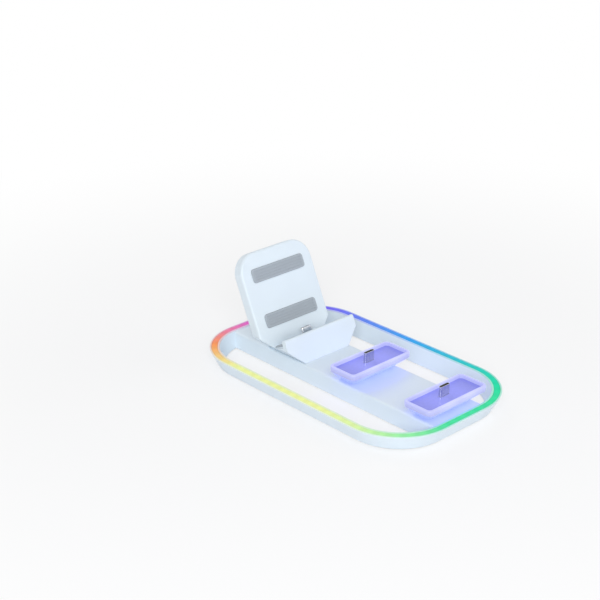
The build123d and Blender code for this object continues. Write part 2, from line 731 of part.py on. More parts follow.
# Cradle: a foot that flares out, a slanted slot with a front lip, and a backrest
with BuildPart() as cradle_shell:
    with BuildSketch(Plane.YZ):
        with BuildLine():
            Polyline(
                slot_point(-slot_lip, foot_u(-slot_lip)),
                slot_point(-slot_lip, slot_lip_height),
                slot_point(0, slot_lip_height),
                slot_point(0, 0),
                slot_point(slot_depth, 0),
                slot_point(slot_depth, rest_height),
                slot_point(rest_back, rest_height),
                slot_point(rest_back, foot_u(rest_back)),
                close=True,
            )
        make_face()
    extrude(amount=cradle_width / 2, both=True)
    # Rounded top corners of the backrest
    fillet(
        cradle_shell.edges().filter_by(Axis((0, 0, 0), (0, lean_c, -lean_s))).sort_by(Axis.Z)[-2:],
        cradle_corner,
    )
    # The foot narrows towards the beam
    with BuildSketch(Plane.XZ):
        with BuildLine():
            Polyline(
                (-cradle_foot / 2, beam_top),
                (cradle_foot / 2, beam_top),
                (cradle_width / 2, beam_top + cradle_flare),
                (cradle_width / 2, cradle_top + rest_thickness),
                (-cradle_width / 2, cradle_top + rest_thickness),
                (-cradle_width / 2, beam_top + cradle_flare),
                close=True,
            )
        make_face()
    extrude(amount=base_length, both=True, mode=Mode.INTERSECT)
    # Soft edges round the backrest and the lip
    for v in (slot_depth, rest_back):
        rest_edges = cradle_shell.edges().filter_by(
            lambda e: abs(slot_v(e.center()) - v) < fit and e.center().Z > beam_top + cradle_flare
        )
        fillet(rest_edges.filter_by(lambda e: slot_u(e.center()) > fit), cradle_round)
    for v in (-slot_lip, 0):
        lip_edges = cradle_shell.edges().filter_by(
            lambda e: abs(slot_v(e.center()) - v) < fit and slot_u(e.center()) > slot_lip_height - fit
        )
        fillet(lip_edges, lip_round)
    # Pocket behind the backrest, its cover's seat and four posts
    with BuildSketch(pocket_plane):
        RectangleRounded(pocket_width, pocket_height, pocket_corner)
    extrude(amount=rest_back - rest_inner, mode=Mode.SUBTRACT)
    with BuildSketch(pocket_plane):
        RectangleRounded(
            pocket_width + 2 * cradle_cover_rim,
            pocket_height + 2 * cradle_cover_rim,
            pocket_corner + cradle_cover_rim,
        )
    extrude(amount=cradle_cover, mode=Mode.SUBTRACT)
    with BuildSketch(pocket_plane.offset(cradle_cover)):
        with GridLocations(back_post_x, back_post_y, 2, 2):
            Circle(post_diameter / 2)
    extrude(amount=rest_thickness - cradle_wall - cradle_cover + fit)
    with BuildSketch(pocket_plane.offset(cradle_cover)):
        with GridLocations(back_post_x, back_post_y, 2, 2):
            Circle(pilot / 2)
    extrude(amount=rest_thickness - cradle_wall - cradle_cover, mode=Mode.SUBTRACT)
    # Hollow foot under the slot
    with BuildSketch(Plane.YZ):
        with BuildLine():
            Polyline(
                slot_point(cradle_wall - slot_lip, foot_u(cradle_wall - slot_lip)),
                slot_point(cradle_wall - slot_lip, -cradle_wall),
                slot_point(hollow_v, -cradle_wall),
                slot_point(hollow_v, foot_u(hollow_v)),
                close=True,
            )
        make_face()
    extrude(amount=cradle_foot / 2 - cradle_wall, both=True, mode=Mode.SUBTRACT)
    with BuildSketch(Plane.XY.offset(beam_top)):
        with Locations(*front_posts):
            Circle(post_diameter / 2)
    extrude(amount=front_post_height)
    with BuildSketch(Plane.XY.offset(beam_top)):
        with Locations(*cradle_posts):
            Circle(pilot / 2)
    extrude(amount=screw_bite + fit, mode=Mode.SUBTRACT)
    # Seats of the pads and the plug's slot
    with BuildSketch(rest_plane):
        with GridLocations(0, rest_pad_pitch, 1, 2):
            RectangleRounded(rest_pad_width + 2 * fit, rest_pad_height + 2 * fit, pad_corner + fit)
    extrude(amount=-pad_recess, mode=Mode.SUBTRACT)
    with BuildSketch(floor_plane):
        RectangleRounded(floor_pad_width + 2 * fit, floor_pad_depth + 2 * fit, pad_corner + fit)
    extrude(amount=-pad_recess, mode=Mode.SUBTRACT)
    with BuildSketch(floor_plane):
        SlotOverall(plug_width + 2 * gap, plug_height + 2 * gap)
    extrude(amount=-cradle_wall, mode=Mode.SUBTRACT)
cradle_shell.part.label = "cradle_shell"
export_step(cradle_shell.part, "parts/cradle_shell.step")

with BuildPart() as cradle_back_cover:
    with BuildSketch(pocket_plane):
        RectangleRounded(
            pocket_width + 2 * cradle_cover_rim - 2 * fit,
            pocket_height + 2 * cradle_cover_rim - 2 * fit,
            pocket_corner + cradle_cover_rim - fit,
        )
    extrude(amount=cradle_cover)
    with BuildSketch(pocket_plane):
        with GridLocations(back_post_x, back_post_y, 2, 2):
            Circle(clear_hole / 2)
    extrude(amount=cradle_cover, mode=Mode.SUBTRACT)
    with BuildSketch(pocket_plane):
        with GridLocations(back_post_x, back_post_y, 2, 2):
            Circle(screw_head / 2 + fit)
    extrude(amount=screw_head_height, mode=Mode.SUBTRACT)
cradle_back_cover.part.label = "cradle_back_cover"
export_step(cradle_back_cover.part, "parts/cradle_back_cover.step")

with BuildPart() as back_cover_screws:
    with BuildSketch(pocket_plane):
        with GridLocations(back_post_x, back_post_y, 2, 2):
            Circle(screw_head / 2)
    extrude(amount=screw_head_height)
    with BuildSketch(pocket_plane.offset(screw_head_height)):
        with GridLocations(back_post_x, back_post_y, 2, 2):
            Circle(screw_diameter / 2)
    extrude(amount=rest_thickness - cradle_wall - screw_head_height - fit)
back_cover_screws.part.label = "back_cover_screws"
export_step(back_cover_screws.part, "parts/back_cover_screws.step")

with BuildPart() as backrest_pads:
    with BuildSketch(rest_plane.offset(-pad_recess)):
        with GridLocations(0, rest_pad_pitch, 1, 2):
            RectangleRounded(rest_pad_width, rest_pad_height, pad_corner)
    extrude(amount=pad_thickness)
backrest_pads.part.label = "backrest_pads"
export_step(backrest_pads.part, "parts/backrest_pads.step")

with BuildPart() as cradle_floor_pad:
    with BuildSketch(floor_plane.offset(-pad_recess)):
        RectangleRounded(floor_pad_width, floor_pad_depth, pad_corner)
        SlotOverall(plug_width + 2 * gap, plug_height + 2 * gap, mode=Mode.SUBTRACT)
    extrude(amount=pad_thickness)
cradle_floor_pad.part.label = "cradle_floor_pad"
export_step(cradle_floor_pad.part, "parts/cradle_floor_pad.step")

with BuildPart() as cradle_board:
    with BuildSketch(Plane.XY.offset(beam_top)):
        with Locations((0, cradle_board_y)):
            Rectangle(cradle_board_width, cradle_board_depth)
    extrude(amount=small_board)
cradle_board.part.label = "cradle_board"
export_step(cradle_board.part, "parts/cradle_board.step")

with BuildPart() as handheld_plug_block:
    with BuildSketch(floor_plane.offset(-cradle_wall - fit)):
        Rectangle(plug_block_width, plug_block_depth)
    extrude(amount=-rest_z)
    split(bisect_by=Plane.XY.offset(beam_top + small_board), keep=Keep.TOP)
handheld_plug_block.part.label = "handheld_plug_block"
export_step(handheld_plug_block.part, "parts/handheld_plug_block.step")

with BuildPart() as handheld_plug_shell:
    with BuildSketch(floor_plane.offset(-cradle_wall - fit)):
        SlotOverall(plug_width, plug_height)
        SlotOverall(plug_width - 2 * plug_wall, plug_height - 2 * plug_wall, mode=Mode.SUBTRACT)
    extrude(amount=cradle_wall + fit + plug_reach)
handheld_plug_shell.part.label = "handheld_plug_shell"
export_step(handheld_plug_shell.part, "parts/handheld_plug_shell.step")

with BuildPart() as handheld_plug_insert:
    with BuildSketch(floor_plane.offset(-cradle_wall - fit)):
        SlotOverall(plug_width - 2 * plug_wall - fit, plug_height - 2 * plug_wall - fit)
    extrude(amount=cradle_wall + fit + plug_reach - plug_insert_back)
    with BuildSketch(floor_plane):
        Rectangle(tongue_width, contact_slot)
    extrude(amount=plug_reach, mode=Mode.SUBTRACT)
handheld_plug_insert.part.label = "handheld_plug_insert"
export_step(handheld_plug_insert.part, "parts/handheld_plug_insert.step")

with BuildPart() as cradle_screws:
    with BuildSketch(Plane.XY.offset(ceiling)):
        with Locations(*cradle_posts):
            Circle(screw_head / 2)
    extrude(amount=-screw_head_height)
    with BuildSketch(Plane.XY.offset(ceiling)):
        with Locations(*cradle_posts):
            Circle(screw_diameter / 2)
    extrude(amount=shell_wall + screw_bite)
cradle_screws.part.label = "cradle_screws"
export_step(cradle_screws.part, "parts/cradle_screws.step")
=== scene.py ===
import json
import math

import bmesh
import bpy
from bpy.props import FloatProperty, FloatVectorProperty, IntProperty, PointerProperty
from mathutils import Matrix, Vector


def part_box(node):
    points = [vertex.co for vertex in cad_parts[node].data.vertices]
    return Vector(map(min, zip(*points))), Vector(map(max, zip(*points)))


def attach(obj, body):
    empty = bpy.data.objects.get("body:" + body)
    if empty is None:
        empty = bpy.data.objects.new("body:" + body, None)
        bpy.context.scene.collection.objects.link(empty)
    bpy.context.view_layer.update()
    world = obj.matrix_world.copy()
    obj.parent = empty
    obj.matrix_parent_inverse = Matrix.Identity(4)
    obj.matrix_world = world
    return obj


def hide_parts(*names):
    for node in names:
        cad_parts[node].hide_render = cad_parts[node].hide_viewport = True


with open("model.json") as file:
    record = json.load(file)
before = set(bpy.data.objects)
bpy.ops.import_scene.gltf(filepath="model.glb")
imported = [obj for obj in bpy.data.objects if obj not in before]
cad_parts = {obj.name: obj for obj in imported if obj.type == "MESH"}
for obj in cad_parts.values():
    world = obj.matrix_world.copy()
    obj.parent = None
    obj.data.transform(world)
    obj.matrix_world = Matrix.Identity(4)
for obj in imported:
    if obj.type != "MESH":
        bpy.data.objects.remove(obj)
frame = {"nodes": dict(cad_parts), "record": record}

bl_info = {
    "name": "Charging dock looks",
    "version": (1, 0, 0),
    "blender": (4, 5, 0),
    "location": "3D View > Sidebar > Dock",
    "description": "Finishes, light strip, pads, feet, contacts and screws of a charging dock",
    "category": "Object",
}

MM = 0.001
# Edges that turn by more than this stay sharp
SHARP_TURN = math.radians(40)
# Width of the floor in metres, and how far it lies below the feet
FLOOR_SIZE, FLOOR_DROP = 12, 0.1 * MM
# Metres from the dock's middle between which the floor's shadow fades into white
SHADOW_FADE = (0.12, 0.5)
# White share of the floor where its shadow is full
SHADOW_WHITE = 0.6
# Strength of the white surroundings where they light the dock
SKY_LIGHT = 0.5
# Where the lamps of the studio point
LIGHT_TARGET = (0, 0, 0.02)
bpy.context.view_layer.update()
MOUNTS = {mount["name"]: mount for mount in frame["record"]["mounts"]}


def linear(code):
    """Turn an sRGB hex colour into linear red, green and blue."""
    channels = [int(code[i:i + 2], 16) / 255 for i in (1, 3, 5)]
    return [c / 12.92 if c <= 0.04045 else ((c + 0.055) / 1.055) ** 2.4 for c in channels]


def colour(name, description, code):
    """A colour setting with an sRGB hex default."""
    return FloatVectorProperty(
        name=name, description=description, default=linear(code),
        subtype="COLOR", size=3, min=0, max=1,
    )


def length(name, description, millimetres):
    """A length setting with a default in millimetres."""
    return FloatProperty(
        name=name, description=description, default=millimetres * MM, unit="LENGTH"
    )


class DockSizes(bpy.types.PropertyGroup):
    """Sizes of the pieces that are added to the solids."""

    ring_corner: length("Ring corner", "Plan radius of the light strip's outer corner", 37.2)
    strip_width: length("Strip width", "Width of the light strip", 3.8)
    strip_round: length("Strip edge", "Radius on the light strip's upper edges", 0.4)
    lamp_count: IntProperty(name="Lamps", description="Lamps under the strip", default=66, min=1)
    pad_corner: length("Pad corner", "Plan radius of the rubber pads", 2.0)
    pad_thickness: length("Pad thickness", "Thickness of the rubber pads", 1.2)
    pad_proud: length("Pad height", "How far a pad stands out of its recess", 0.6)
    pad_round: length("Pad edge", "Radius on a pad's upper edge", 0.35)
    rest_pad_width: length("Backrest pad width", "Width of a backrest pad", 44.0)
    rest_pad_height: length("Backrest pad height", "Height of a backrest pad", 9.0)
    rest_pad_pitch: length("Backrest pad pitch", "Distance between the backrest pads", 30.0)
    floor_pad_width: length("Slot pad width", "Width of the pad in the slot", 46.0)
    floor_pad_depth: length("Slot pad depth", "Depth of the pad in the slot", 15.0)
    plug_slot_width: length("Plug opening width", "Width of the opening for the plug", 8.9)
    plug_slot_depth: length("Plug opening depth", "Depth of the opening for the plug", 3.0)
    rib_pitch: length("Rib pitch", "Distance between the ribs of a pad", 1.8)
    groove_width: length("Groove width", "Width of the grooves between the ribs", 0.75)
    groove_depth: length("Groove depth", "Depth of the grooves between the ribs", 0.5)
    groove_margin: length("Groove margin", "Plain edge round the grooves of a pad", 1.8)
    foot_centre_x: length("Foot centre X", "Middle of the feet's arc across the ring", 18.5)
    foot_centre_y: length("Foot centre Y", "Middle of the feet's arc along the ring", 56.5)
    foot_radius: length("Foot radius", "Plan radius along the middle of a foot", 30.4)
    foot_width: length("Foot width", "Width of a foot", 2.4)
    foot_start: length("Foot start", "How far a foot begins beyond the middle of its arc", 11.5)
    foot_round: length("Foot edge", "Radius on a foot's lower edges", 0.45)
    screw_head: length("Screw head", "Diameter of a screw's head", 3.6)
    screw_shank: length("Screw shank", "Diameter of a screw's shank", 1.8)
    head_height: length("Head height", "Height of a screw's head", 1.1)
    cross_width: length("Cross width", "Width of the arms of a screw's cross recess", 0.6)
    cross_reach: length("Cross reach", "Length of the cross recess from end to end", 2.3)
    cross_depth: length("Cross depth", "Depth of the cross recess", 0.8)
    contact_width: length("Contact width", "Width of one gilt contact", 0.26)
    contact_pitch: length("Contact pitch", "Distance between two gilt contacts", 0.5)
    contact_count: IntProperty(
        name="Contacts", description="Gilt contacts in one row", default=12, min=1
    )
    plug_gap: length("Plug mouth", "Height of the mouth inside a plug", 0.8)
    tongue_height: length("Tongue", "Thickness of the inlet's tongue", 0.7)


class DockColours(bpy.types.PropertyGroup):
    """Colours of the finishes and of the light."""

    shell: colour("Shell", "Cool white of the mouldings", "#E0ECF5")
    button: colour("Button", "White of the light button", "#D4E3EE")
    left: colour("Light, left side", "Strip colour along the left side", "#F4FCA4")
    front_left_start: colour(
        "Light, left end", "Strip colour where the left corner begins", "#E1FBA8"
    )
    front_left: colour("Light, front left", "Strip colour round the left front corner", "#A0F5A8")
    front: colour("Light, front", "Strip colour along the front", "#50EC96")
    front_right: colour(
        "Light, front right", "Strip colour round the right front corner", "#08E2A6"
    )
    right: colour("Light, right side", "Strip colour along the right side", "#2FA4F5")
    back_right: colour("Light, back right", "Strip colour round the right back corner", "#7C5BFA")
    back: colour("Light, back", "Strip colour along the back", "#E05BD6")
    back_left: colour("Light, back left", "Strip colour round the left back corner", "#FF9A55")
    # The seat rim's paler colour is painted light and the deck's deeper violet is painted shade;
    # both also glow
    seat_rim_painted_light: colour("Seat rim", "Lit rim of a seat", "#C4C8FF")
    seat_deck_painted_shade: colour("Seat deck", "Lit recess of a seat", "#8388E6")
    seat_under: colour("Seat underside", "Light that a seat throws on the beam", "#7F8CFF")
    pad: colour("Pad", "Silicone rubber of the cradle's pads", "#AEB7C0")
    foot: colour("Foot", "Rubber of the feet", "#5A5F66")


class DockStage(bpy.types.PropertyGroup):
    """Camera and studio."""

    camera_place: FloatVectorProperty(
        name="Camera", description="Where the camera stands", default=(-0.5528, -0.5448, 0.3988),
        subtype="TRANSLATION", unit="LENGTH", size=3,
    )
    camera_azimuth: FloatProperty(
        name="Azimuth", description="Camera's turn round the dock", default=math.radians(-43.04),
        unit="ROTATION",
    )
    camera_elevation: FloatProperty(
        name="Elevation", description="Camera's angle above the floor",
        default=math.radians(23.87), unit="ROTATION",
    )
    camera_lens: FloatProperty(
        name="Lens", description="Focal length in millimetres", default=82.9, min=1
    )
    floor: colour("Floor", "Pale floor under the dock", "#F7F8FA")


def node(tree, kind, inputs=None, stops=None, **settings):
    """Add one node.

    Settings are its own properties, inputs are values or sockets, and stops are a ramp's colours.
    """
    made = tree.nodes.new(kind)
    for name, value in settings.items():
        setattr(made, name, value)
    for key, value in (inputs or {}).items():
        if isinstance(value, bpy.types.NodeSocket):
            tree.links.new(value, made.inputs[key])
        else:
            made.inputs[key].default_value = value
    for i, (place, value) in enumerate(stops or []):
        points = made.color_ramp.elements
        point = points[i] if i < len(points) else points.new(place)
        point.position = place
        point.color = (*value, 1.0)
    return made


def here(tree):
    """A point's place in its object."""
    return node(tree, "ShaderNodeTexCoord").outputs["Object"]


def parts_of(tree, vector):
    """X, Y and Z of a vector, by name."""
    return node(tree, "ShaderNodeSeparateXYZ", {"Vector": vector}).outputs


def sums(tree, operation, *values):
    """Result of one step of arithmetic."""
    return node(tree, "ShaderNodeMath", dict(enumerate(values)), operation=operation).outputs[0]


def mapped(tree, value, before, after, kind="LINEAR"):
    """A value taken from one range into another, each given by its two ends."""
    inputs = {"Value": value}
    inputs["From Min"], inputs["From Max"] = before
    inputs["To Min"], inputs["To Max"] = after
    return node(tree, "ShaderNodeMapRange", inputs, interpolation_type=kind).outputs["Result"]


def noise(tree, place, spot_mm, detail):
    """Cloudy noise with spots of about this size."""
    inputs = {"Vector": place, "Scale": 1000 / spot_mm, "Detail": detail}
    return node(tree, "ShaderNodeTexNoise", inputs).outputs["Fac"]


def ramp(tree, factor, stops):
    """Colour that a factor picks between stops."""
    return node(tree, "ShaderNodeValToRGB", {"Fac": factor}, stops).outputs["Color"]


def mixed(tree, share, first, second):
    """Colour between two colours. The numbers are the mix node's sockets for colours."""
    inputs = {0: share, 6: first, 7: second}
    return node(tree, "ShaderNodeMix", inputs, data_type="RGBA").outputs[2]


def skin_normal(tree, height, strength, deep_mm, edge_mm=0):
    """Normal of a skin that a noise raises, with edges rounded where a radius is given."""
    inputs = {"Height": height, "Strength": strength, "Distance": deep_mm * MM}
    if edge_mm:
        edge = node(tree, "ShaderNodeBevel", {"Radius": edge_mm * MM}, samples=4)
        inputs["Normal"] = edge.outputs["Normal"]
    return node(tree, "ShaderNodeBump", inputs).outputs["Normal"]


def material(name):
    """An empty node material with its output, as (material, tree, surface socket)."""
    made = bpy.data.materials.new(name)
    made.use_nodes = True
    made.node_tree.nodes.clear()
    output = node(made.node_tree, "ShaderNodeOutputMaterial")
    return made, made.node_tree, output.inputs["Surface"]


def principled(tree, surface, inputs):
    """Give a material its shader."""
    shader = node(tree, "ShaderNodeBsdfPrincipled", inputs)
    tree.links.new(shader.outputs["BSDF"], surface)


def shade(value, by):
    """A colour made darker."""
    return [c * by for c in value]


def moulded_abs(name, base, lit=None):
    """ABS from a spark-eroded mould: a satin white with a fine even grain and soft highlights.

    Where lit gives the light's colours and sizes, the strip's light is painted on the walls' top
    edges beside it, as a tint in their colour and a faint glow.
    """
    made, tree, surface = material(name)
    place = here(tree)
    # Real grain is about 0.15 mm, drawn at 0.7 mm so that it shows
    grain = noise(tree, place, spot_mm=0.7, detail=3)
    flow = noise(tree, place, spot_mm=30, detail=2)
    tint = ramp(tree, flow, [(0.3, shade(base, 0.965)), (0.7, base)])
    inputs = {
        "Base Color": tint, "IOR": 1.53,
        "Roughness": mapped(tree, grain, (0.3, 0.7), (0.36, 0.48)),
        "Normal": skin_normal(tree, grain, strength=0.12, deep_mm=0.05, edge_mm=0.25),
    }
    if lit:
        # Painted light: the walls' top half millimetre beside the strip takes the strip's colour
        # and a faint glow
        painted_glow_depth, painted_glow_tint, painted_glow_strength = 0.5 * MM, 0.45, 0.1
        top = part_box("light_guide")[1].z
        hue = ring_hue(tree, place, *lit)
        rim = mapped(tree, parts_of(tree, place)["Z"], (top - painted_glow_depth, top), (0, painted_glow_tint))
        inputs["Base Color"] = mixed(tree, rim, tint, hue)
        inputs["Emission Color"] = hue
        inputs["Emission Strength"] = sums(tree, "MULTIPLY", rim, painted_glow_strength)
    principled(tree, surface, inputs)
    return made


def strip_stops(colours, sizes):
    """Places of the light's colours, as shares of the ring's length from the front's middle."""
    low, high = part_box("light_guide")
    whole = strip_path(sizes)[-1][2]
    half_front = high.x - sizes.ring_corner
    side = high.y - low.y - 2 * sizes.ring_corner
    arc = whole / 4 - half_front - side / 2
    first = half_front + arc / 2
    second = half_front + arc + side / 2
    left = whole - second
    # Where the left side's colour begins and ends, in lengths of the side from its middle
    left_start, left_end = -0.42, 0.25
    # Where the front's colour begins, as a share of the way from the front's middle to the corner
    front_start = 0.8
    places = [
        (0, colours.front),
        (first, colours.front_right),
        (second, colours.right),
        (second + side / 2 + arc / 2, colours.back_right),
        (whole / 2, colours.back),
        (left - side / 2 - arc / 2, colours.back_left),
        (left + left_start * side, colours.left),
        (left + left_end * side, colours.left),
        (left + side / 2, colours.front_left_start),
        (whole - first, colours.front_left),
        (whole - front_start * half_front, colours.front),
        (whole, colours.front),
    ]
    return [(place / whole, list(value)) for place, value in places]


def ring_hue(tree, place, colours, sizes):
    """Colour of the light in a direction from the dock's middle, for the walls beside the strip."""
    path = strip_path(sizes)
    stops = []
    for share, value in strip_stops(colours, sizes)[:-1]:
        run = share * path[-1][2]
        i = next(k for k in range(1, len(path)) if path[k][2] >= run)
        part = (run - path[i - 1][2]) / (path[i][2] - path[i - 1][2])
        spot = path[i - 1][0].lerp(path[i][0], part)
        stops.append((math.atan2(spot.y, spot.x) / (2 * math.pi) + 0.5, value))
    turn = node(tree, "ShaderNodeTexGradient", {"Vector": place}, gradient_type="RADIAL")
    return ramp(tree, turn.outputs["Fac"], sorted(stops))


def lit_diffuser(colours, sizes):
    """Frosted acrylic over lamps: an even coloured glow, brighter in its middle and over a lamp."""
    made, tree, surface = material("moulded_acrylic_frosted_lit")
    mean_glow, lamp_ripple, edge_loss = 0.52, 0.03, 0.14
    strip = node(tree, "ShaderNodeAttribute", attribute_name="strip")
    parts = parts_of(tree, strip.outputs["Vector"])
    stops = strip_stops(colours, sizes)
    turns = sums(tree, "MULTIPLY", parts["X"], 2 * math.pi * sizes.lamp_count)
    lamps = sums(tree, "MULTIPLY_ADD", sums(tree, "COSINE", turns), lamp_ripple, mean_glow)
    off_middle = sums(tree, "POWER", parts["Y"], 4.0)
    principled(tree, surface, {
        # Painted light: the light's colours at half strength are the base colour too
        "Base Color": ramp(tree, parts["X"], [(at, shade(value, 0.5)) for at, value in stops]),
        "Roughness": 0.5, "IOR": 1.49, "Specular IOR Level": 0.15,
        "Emission Color": ramp(tree, parts["X"], stops),
        "Emission Strength": sums(tree, "MULTIPLY_ADD", off_middle, -edge_loss, lamps),
    })
    return made


def lit_seat(colours):
    """Frosted polycarbonate lit from inside: a rim painted paler as light, a deck painted deeper
    violet as shade, and a soft sheen.
    """
    made, tree, surface = material("moulded_polycarbonate_frosted_lit")
    low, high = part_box("front_seat_cup")
    deck = MOUNTS["front_gamepad_deck"]["pos_m"][2]
    # Faces that look up and lie no more than this above the deck belong to the recess, which is
    # painted deeper violet as shade
    deck_slack = 0.6 * MM
    place = here(tree)
    parts = parts_of(tree, place)
    facing = parts_of(tree, node(tree, "ShaderNodeNewGeometry").outputs["Normal"])
    upward = sums(tree, "GREATER_THAN", facing["Z"], 0.5)
    sunk = sums(tree, "LESS_THAN", parts["Z"], deck + deck_slack)
    painted_shade_mask = sums(tree, "MULTIPLY", upward, sunk)
    # Cloudy diffuser grit of about 2 mm
    cloud = noise(tree, place, spot_mm=2, detail=4)
    # The lamps inside each seat brighten it to the left and right of its plug
    lamp, lamp_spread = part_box("front_seat_leds")[1].x, 14 * MM
    off_lamp = sums(tree, "SUBTRACT", sums(tree, "ABSOLUTE", parts["X"]), lamp)
    near = sums(tree, "ABSOLUTE", off_lamp)
    spot = mapped(tree, near, (0, lamp_spread), (1.18, 0.9), "SMOOTHSTEP")
    rise = mapped(tree, parts["Z"], (low.z, high.z), (0, 1))
    rim, deep, under = list(colours.seat_rim_painted_light), list(colours.seat_deck_painted_shade), list(colours.seat_under)
    # The hull has the underside's glow colour low down and turns paler up to the rim, as painted
    # light
    hull = ramp(tree, rise, [(0.0, under), (0.55, under), (0.72, shade(rim, 0.85)), (1.0, rim)])
    # Painted shade: the recess takes the deck's deeper violet
    recess = ramp(tree, cloud, [(0.35, shade(deep, 0.95)), (0.65, deep)])
    lit = mixed(tree, painted_shade_mask, hull, recess)
    # Painted light: the glow's colours, darkened, are the base colour too
    painted_glow_base = node(tree, "ShaderNodeVectorMath", {0: lit, "Scale": 0.45}, operation="SCALE")
    glow = mapped(tree, rise, (0.45, 0.72), (1.15, 0.6))
    principled(tree, surface, {
        "Base Color": painted_glow_base.outputs[0], "Roughness": 0.3, "IOR": 1.58, "Emission Color": lit,
        "Emission Strength": sums(tree, "MULTIPLY", glow, spot),
        "Normal": skin_normal(tree, cloud, strength=0.04, deep_mm=0.1, edge_mm=0.5),
    })
    return made


def moulded_rubber(name, base, ior):
    """Rubber moulded in a blasted tool: matt, with a dusty sheen and a fine pitted skin."""
    made, tree, surface = material(name)
    # Real pits are about 0.1 mm, drawn at 0.5 mm so that they show
    pits = noise(tree, here(tree), spot_mm=0.5, detail=3)
    principled(tree, surface, {
        "Base Color": ramp(tree, pits, [(0.3, shade(base, 0.9)), (0.7, base)]),
        "Roughness": 0.78, "IOR": ior, "Sheen Weight": 0.25, "Sheen Roughness": 0.4,
        "Normal": skin_normal(tree, pits, strength=0.2, deep_mm=0.05),
    })
    return made


def metal(name, code, rough, streak_mm, stretch):
    """Plated metal: a bright face with faint streaks from drawing, stamping or rolling."""
    made, tree, surface = material(name)
    drawn = node(tree, "ShaderNodeMapping", {"Vector": here(tree), "Scale": stretch})
    streak = noise(tree, drawn.outputs["Vector"], streak_mm, detail=2)
    base = linear(code)
    principled(tree, surface, {
        "Base Color": ramp(tree, streak, [(0.3, shade(base, 0.9)), (0.7, base)]), "Metallic": 1.0,
        "Roughness": mapped(tree, streak, (0.3, 0.7), (rough, rough + 0.1)),
    })
    return made


def speckled(name, low, high, spot_mm, rough, ior, glow=0.0):
    """A filled or coated material: two near colours in fine specks, and a faint texture."""
    made, tree, surface = material(name)
    speck = noise(tree, here(tree), spot_mm, detail=2)
    tint = ramp(tree, speck, [(0.35, linear(low)), (0.65, linear(high))])
    principled(tree, surface, {
        "Base Color": tint, "Roughness": rough, "IOR": ior, "Emission Color": tint,
        "Emission Strength": glow,
        "Normal": skin_normal(tree, speck, strength=0.1, deep_mm=0.05),
    })
    return made


def finish_nodes(made, *names):
    """Give carried-over solids a finish."""
    for name in names:
        slots = frame["nodes"][name].data.materials
        slots.clear()
        slots.append(made)


def skin(build, rows, joined=False, runs=None):
    """Skin rows of points into a closed form. Joined rows meet end to end, and others are capped.

    With runs, each corner keeps its share of the length and its offset across, for the finish.
    """
    made = [[build.verts.new(point) for point in row] for row in rows]
    count = len(rows[0])
    layer = build.loops.layers.float_vector.new("strip") if runs else None
    for i in range(len(rows) if joined else len(rows) - 1):
        after = (i + 1) % len(rows)
        for j in range(count):
            k = (j + 1) % count
            face = build.faces.new((made[i][j], made[after][j], made[after][k], made[i][k]))
            if runs:
                corners = ((i, j), (i + 1, j), (i + 1, k), (i, k))
                for loop, (row, column) in zip(face.loops, corners):
                    loop[layer] = (runs[0][row], runs[1][column], 0)
    if not joined:
        build.faces.new(made[0])
        build.faces.new(made[-1])
    bmesh.ops.recalc_face_normals(build, faces=build.faces)


def made_mesh(build):
    """The mesh of a finished build."""
    mesh = bpy.data.meshes.new("form")
    build.to_mesh(mesh)
    build.free()
    return mesh


def form(rows, **options):
    """A mesh skinned over rows of points."""
    build = bmesh.new()
    skin(build, rows, **options)
    return made_mesh(build)


def joined_forms(forms, places):
    """Copies of several forms at several places in one mesh."""
    build = bmesh.new()
    for shape in forms:
        for place in places:
            before = len(build.verts)
            build.from_mesh(shape)
            build.verts.ensure_lookup_table()
            bmesh.ops.transform(build, matrix=place, verts=build.verts[before:])
    bmesh.ops.recalc_face_normals(build, faces=build.faces)
    return made_mesh(build)


def cut(shape, cutter):
    """The mesh that is left of a form when a cutter is taken out of it."""
    collection = bpy.context.scene.collection
    body = bpy.data.objects.new("cut_body", shape)
    tool = bpy.data.objects.new("cut_tool", cutter)
    collection.objects.link(body)
    collection.objects.link(tool)
    step = body.modifiers.new("cut", "BOOLEAN")
    step.operation = "DIFFERENCE"
    step.solver = "EXACT"
    step.object = tool
    graph = bpy.context.evaluated_depsgraph_get()
    left = bpy.data.meshes.new_from_object(body.evaluated_get(graph))
    bpy.data.objects.remove(body)
    bpy.data.objects.remove(tool)
    if not left.polygons:
        raise RuntimeError("a cut left nothing")
    return left


def piece(name, shape, made, body, slot, *nodes):
    """Place a smooth-shaded piece that rides on a body, has a finish and stands for solids."""
    shape.name = name
    shape.shade_smooth()
    shape.set_sharp_from_angle(angle=SHARP_TURN)
    shape.materials.clear()
    shape.materials.append(made)
    new = bpy.data.objects.new(name, shape)
    bpy.context.scene.collection.objects.link(new)
    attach(new, body)
    if nodes:
        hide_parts(*nodes)
    return new


def upright(place, axis):
    """Matrix that puts a form at a place, with its height along an axis and its width along X."""
    up = Vector(axis).normalized()
    across = Vector((1, 0, 0))
    return Matrix.Translation(place) @ Matrix((across, up.cross(across), up)).transposed().to_4x4()


def rounded_outline(width, depth, radius, steps=6):
    """Plan of a rounded rectangle, as (x, y) points."""
    points = []
    for quarter, (side_x, side_y) in enumerate(((1, 1), (-1, 1), (-1, -1), (1, -1))):
        for step in range(steps + 1):
            turn = math.radians(90 * (quarter + step / steps))
            points.append(
                (side_x * (width / 2 - radius) + radius * math.cos(turn),
                 side_y * (depth / 2 - radius) + radius * math.sin(turn))
            )
    return points


def level(outline, height):
    """An outline's points at one height."""
    return [Vector((x, y, height)) for x, y in outline]


